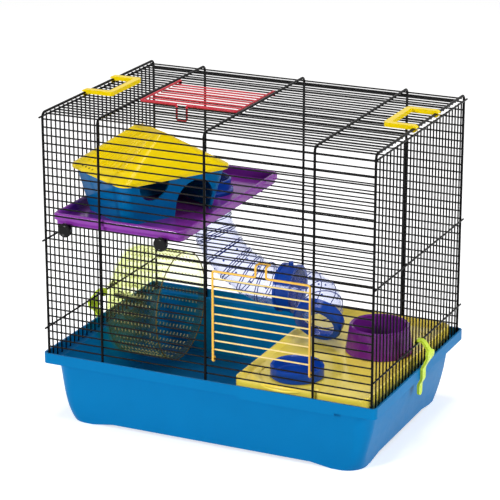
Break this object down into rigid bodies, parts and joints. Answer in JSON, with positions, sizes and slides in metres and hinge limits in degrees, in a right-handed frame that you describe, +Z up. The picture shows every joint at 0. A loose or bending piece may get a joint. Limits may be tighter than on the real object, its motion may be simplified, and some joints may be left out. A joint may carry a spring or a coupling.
{
  "type": "pet cage",
  "caption": "Wire hamster cage on a moulded tray, with hinged doors, fold-down handles, a shelf with a hut, a climbing tube, a running wheel and feeding bowls",
  "frame": {"origin": "middle of the cage on the floor that its feet stand on", "axes": "X to the right as seen from the front, Y to the back, Z up"},
  "size_m": [0.4428, 0.284, 0.3806],
  "materials": {
    "tray_blue": "moulded, satin gloss",
    "house_blue": "moulded, satin gloss",
    "black_wire": "smooth coated black",
    "cream_wire": "smooth coated warm yellow",
    "red_wire": "smooth coated red",
    "yellow_plastic": "moulded, satin gloss",
    "lime_plastic": "moulded, satin gloss",
    "purple_plastic": "moulded, satin gloss",
    "royal_blue_plastic": "moulded, gloss",
    "black_plastic": "moulded, gloss",
    "clear_tube": "clear moulded plastic with a blue tint",
    "clear_wheel": "clear moulded plastic with a yellow tint",
    "bright_steel": "plain drawn steel"
  },
  "bodies": {
    "cage": {"tray": "tray_blue", "far_left_rib": "black_wire", "left_rib": "black_wire", "middle_rib": "black_wire", "right_rib": "black_wire", "far_right_rib": "black_wire", "hood_front_wires": "black_wire", "hood_top_wires": "black_wire", "hood_back_wires": "black_wire", "left_panel_wires": "black_wire", "right_panel_wires": "black_wire", "left_panel_rods": "black_wire", "right_panel_rods": "black_wire", "shelf": "purple_plastic", "left_shelf_stud": "black_plastic", "right_shelf_stud": "black_plastic", "tube_top_collar": "royal_blue_plastic", "upper_tube": "clear_tube", "tube_middle_collar": "royal_blue_plastic", "lower_elbow": "clear_tube", "tube_mouth_ring": "royal_blue_plastic", "wheel_axle": "bright_steel", "axle_cap": "clear_wheel", "wheel_bracket": "clear_wheel", "platform": "yellow_plastic"},
    "front_door": {"front_door_frame": "cream_wire", "front_door_wires": "cream_wire"},
    "top_door": {"top_door_frame": "red_wire", "top_door_wires": "red_wire"},
    "left_grip": {"left_handle": "yellow_plastic"},
    "right_grip": {"right_handle": "yellow_plastic"},
    "left_catch": {"left_clip": "lime_plastic"},
    "right_catch": {"right_clip": "lime_plastic"},
    "left_nut": {"left_shelf_knob": "black_plastic"},
    "right_nut": {"right_shelf_knob": "black_plastic"},
    "house": {"house_body": "house_blue"},
    "roof": {"house_roof": "yellow_plastic"},
    "wheel": {"wheel_drum": "clear_wheel"},
    "low_bowl": {"blue_bowl": "royal_blue_plastic"},
    "deep_bowl": {"purple_bowl": "purple_plastic"}
  },
  "joints": [
    {"name": "front_door_hinge", "type": "hinge", "parent": "cage", "child": "front_door", "pos_m": [0.06895, -0.13555, 0.112], "axis": [1, 0, 0], "range_deg": [0, 150]},
    {"name": "top_door_hinge", "type": "hinge", "parent": "cage", "child": "top_door", "pos_m": [-0.0664, 0.06, 0.37405], "axis": [-1, 0, 0], "range_deg": [0, 150]},
    {"name": "left_handle_hinge", "type": "hinge", "parent": "cage", "child": "left_grip", "pos_m": [-0.2033, 0, 0.3765], "axis": [0, -1, 0], "range_deg": [0, 170]},
    {"name": "right_handle_hinge", "type": "hinge", "parent": "cage", "child": "right_grip", "pos_m": [0.2033, 0.01, 0.3765], "axis": [0, 1, 0], "range_deg": [0, 170]},
    {"name": "left_clip_hinge", "type": "hinge", "parent": "cage", "child": "left_catch", "pos_m": [-0.20595, 0, 0.1165], "axis": [0, 1, 0], "range_deg": [0, 100]},
    {"name": "right_clip_hinge", "type": "hinge", "parent": "cage", "child": "right_catch", "pos_m": [0.20595, 0, 0.1165], "axis": [0, -1, 0], "range_deg": [0, 100]},
    {"name": "left_knob_turn", "type": "hinge", "parent": "cage", "child": "left_nut", "pos_m": [-0.1774, -0.1393, 0.24025], "axis": [0, -1, 0], "continuous": true},
    {"name": "right_knob_turn", "type": "hinge", "parent": "cage", "child": "right_nut", "pos_m": [-0.0547, -0.1393, 0.24025], "axis": [0, -1, 0], "continuous": true},
    {"name": "house_lift", "type": "slide", "parent": "cage", "child": "house", "axis": [0, 0, 1], "range_m": [0, 0.008]},
    {"name": "roof_lift", "type": "slide", "parent": "house", "child": "roof", "axis": [0, 0, 1], "range_m": [0, 0.012]},
    {"name": "wheel_spin", "type": "hinge", "parent": "cage", "child": "wheel", "pos_m": [-0.15, 0.02556, 0.10425], "axis": [1, 0, 0], "continuous": true},
    {"name": "blue_bowl_lift", "type": "slide", "parent": "cage", "child": "low_bowl", "axis": [0, 0, 1], "range_m": [0, 0.06]},
    {"name": "purple_bowl_lift", "type": "slide", "parent": "cage", "child": "deep_bowl", "axis": [0, 0, 1], "range_m": [0, 0.06]}
  ]
}
